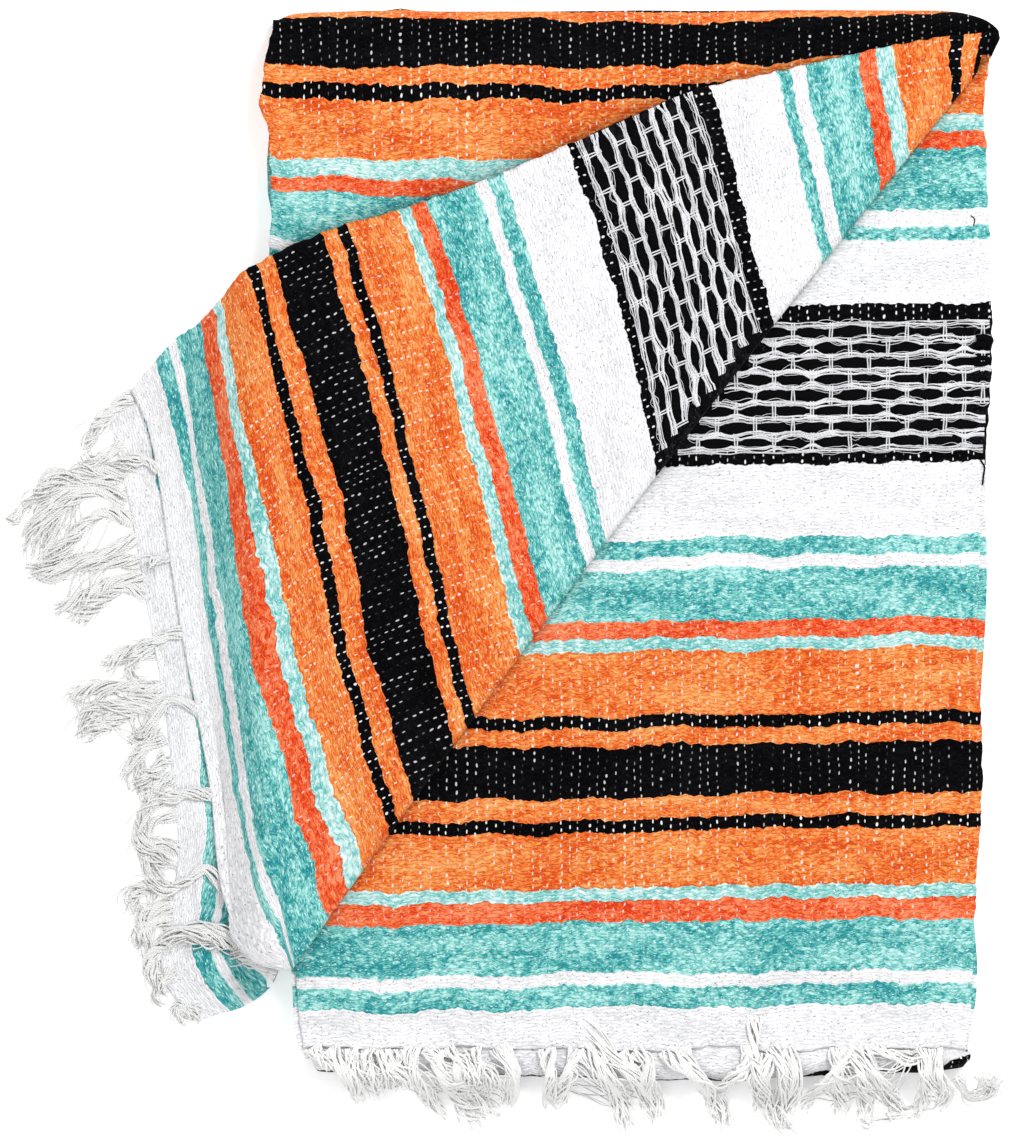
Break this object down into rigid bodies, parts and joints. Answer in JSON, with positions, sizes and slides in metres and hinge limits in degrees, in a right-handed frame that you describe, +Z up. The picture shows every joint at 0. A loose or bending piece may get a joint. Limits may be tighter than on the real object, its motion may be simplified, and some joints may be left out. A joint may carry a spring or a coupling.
{
  "type": "folded mexican blanket",
  "caption": "Woven striped blanket folded into a flat stack, with one corner of its upper panels turned back and knotted fringe along its hems.",
  "frame": {"origin": "under the middle of the whole blanket, on the surface it lies on", "axes": "+Z up from the surface, +Y along the stack from its front hem to its top fold, +X towards the side away from the turned-back corner's hem"},
  "size_m": [0.6014, 0.6996, 0.0491],
  "materials": {
    "striped_cloth": "matte",
    "fringe_yarn": "matte"
  },
  "bodies": {
    "root": {"under_layers": "striped_cloth", "front_panel": "striped_cloth", "middle_panel": "striped_cloth", "top_panel": "striped_cloth", "flap_over": "striped_cloth", "flap_under": "striped_cloth", "flap_under_hem": "striped_cloth", "front_fringe": "fringe_yarn", "flap_fringe": "fringe_yarn", "flap_under_fringe": "fringe_yarn"}
  },
  "joints": []
}
